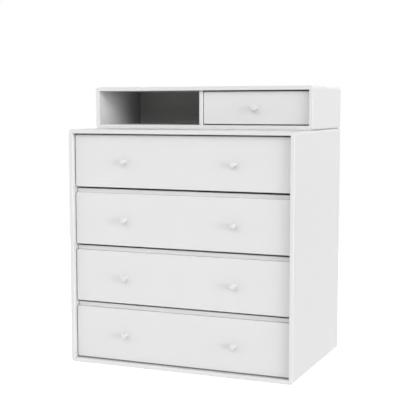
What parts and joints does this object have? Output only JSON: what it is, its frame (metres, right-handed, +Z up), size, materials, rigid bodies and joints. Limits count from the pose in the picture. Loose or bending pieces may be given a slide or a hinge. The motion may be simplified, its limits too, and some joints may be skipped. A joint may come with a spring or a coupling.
{
  "type": "wall-hung chest of drawers",
  "caption": "Square wall-hung chest of wide knobbed drawers in white lacquered board, with a shallower upper module holding an open bay and a small drawer.",
  "frame": {"origin": "on the wall plane, at the middle of the row of fixing holes in the wall rail, half way across the width", "axes": "+Z up, +Y into the wall, +X to the right as seen from the front; the drawers open along -Y"},
  "size_m": [0.696, 0.474, 0.822],
  "materials": {
    "white_lacquer": "satin white lacquer on fibreboard",
    "box_lacquer": "matt white lacquer on fibreboard",
    "drawer_floor": "fine-grained light grey melamine",
    "knob_lacquer": "satin white lacquer on turned aluminium",
    "zinc_steel": "bright zinc plated sheet"
  },
  "bodies": {
    "cabinet": {"cabinet_rail": "zinc_steel", "drawer_1_outer_runners": "zinc_steel", "drawer_2_outer_runners": "zinc_steel", "drawer_3_outer_runners": "zinc_steel", "drawer_4_outer_runners": "zinc_steel", "lower_back": "white_lacquer", "lower_bottom": "white_lacquer", "lower_left_side": "white_lacquer", "lower_right_side": "white_lacquer", "lower_top": "white_lacquer", "small_drawer_outer_runners": "zinc_steel", "upper_back": "white_lacquer", "upper_bottom": "white_lacquer", "upper_divider": "white_lacquer", "upper_left_side": "white_lacquer", "upper_right_side": "white_lacquer", "upper_top": "white_lacquer", "wall_rail": "zinc_steel"},
    "drawer_1": {"drawer_1_box_back": "box_lacquer", "drawer_1_box_bottom": "drawer_floor", "drawer_1_box_front": "box_lacquer", "drawer_1_box_sides": "box_lacquer", "drawer_1_front": "white_lacquer", "drawer_1_inner_runners": "zinc_steel", "drawer_1_knobs": "knob_lacquer"},
    "drawer_1_middle": {"drawer_1_middle_runners": "zinc_steel"},
    "drawer_2": {"drawer_2_box_back": "box_lacquer", "drawer_2_box_bottom": "drawer_floor", "drawer_2_box_front": "box_lacquer", "drawer_2_box_sides": "box_lacquer", "drawer_2_front": "white_lacquer", "drawer_2_inner_runners": "zinc_steel", "drawer_2_knobs": "knob_lacquer"},
    "drawer_2_middle": {"drawer_2_middle_runners": "zinc_steel"},
    "drawer_3": {"drawer_3_box_back": "box_lacquer", "drawer_3_box_bottom": "drawer_floor", "drawer_3_box_front": "box_lacquer", "drawer_3_box_sides": "box_lacquer", "drawer_3_front": "white_lacquer", "drawer_3_inner_runners": "zinc_steel", "drawer_3_knobs": "knob_lacquer"},
    "drawer_3_middle": {"drawer_3_middle_runners": "zinc_steel"},
    "drawer_4": {"drawer_4_box_back": "box_lacquer", "drawer_4_box_bottom": "drawer_floor", "drawer_4_box_front": "box_lacquer", "drawer_4_box_sides": "box_lacquer", "drawer_4_front": "white_lacquer", "drawer_4_inner_runners": "zinc_steel", "drawer_4_knobs": "knob_lacquer"},
    "drawer_4_middle": {"drawer_4_middle_runners": "zinc_steel"},
    "small_drawer": {"small_drawer_box_back": "box_lacquer", "small_drawer_box_bottom": "drawer_floor", "small_drawer_box_front": "box_lacquer", "small_drawer_box_sides": "box_lacquer", "small_drawer_front": "white_lacquer", "small_drawer_inner_runners": "zinc_steel", "small_drawer_knobs": "knob_lacquer"},
    "small_drawer_middle": {"small_drawer_middle_runners": "zinc_steel"}
  },
  "joints": [
    {"name": "drawer_1_slide", "type": "slide", "parent": "cabinet", "child": "drawer_1", "axis": [0, -1, 0], "range_m": [0, 0.4]},
    {"name": "drawer_1_middle_slide", "type": "slide", "parent": "cabinet", "child": "drawer_1_middle", "axis": [0, -1, 0], "range_m": [0, 0.2]},
    {"name": "drawer_2_slide", "type": "slide", "parent": "cabinet", "child": "drawer_2", "axis": [0, -1, 0], "range_m": [0, 0.4]},
    {"name": "drawer_2_middle_slide", "type": "slide", "parent": "cabinet", "child": "drawer_2_middle", "axis": [0, -1, 0], "range_m": [0, 0.2]},
    {"name": "drawer_3_slide", "type": "slide", "parent": "cabinet", "child": "drawer_3", "axis": [0, -1, 0], "range_m": [0, 0.4]},
    {"name": "drawer_3_middle_slide", "type": "slide", "parent": "cabinet", "child": "drawer_3_middle", "axis": [0, -1, 0], "range_m": [0, 0.2]},
    {"name": "drawer_4_slide", "type": "slide", "parent": "cabinet", "child": "drawer_4", "axis": [0, -1, 0], "range_m": [0, 0.4]},
    {"name": "drawer_4_middle_slide", "type": "slide", "parent": "cabinet", "child": "drawer_4_middle", "axis": [0, -1, 0], "range_m": [0, 0.2]},
    {"name": "small_drawer_slide", "type": "slide", "parent": "cabinet", "child": "small_drawer", "axis": [0, -1, 0], "range_m": [0, 0.25]},
    {"name": "small_drawer_middle_slide", "type": "slide", "parent": "cabinet", "child": "small_drawer_middle", "axis": [0, -1, 0], "range_m": [0, 0.125]}
  ],
  "couplings": [
    {"joint": "drawer_1_middle_slide", "follows": "drawer_1_slide", "ratio": 0.5},
    {"joint": "drawer_2_middle_slide", "follows": "drawer_2_slide", "ratio": 0.5},
    {"joint": "drawer_3_middle_slide", "follows": "drawer_3_slide", "ratio": 0.5},
    {"joint": "drawer_4_middle_slide", "follows": "drawer_4_slide", "ratio": 0.5},
    {"joint": "small_drawer_middle_slide", "follows": "small_drawer_slide", "ratio": 0.5}
  ]
}
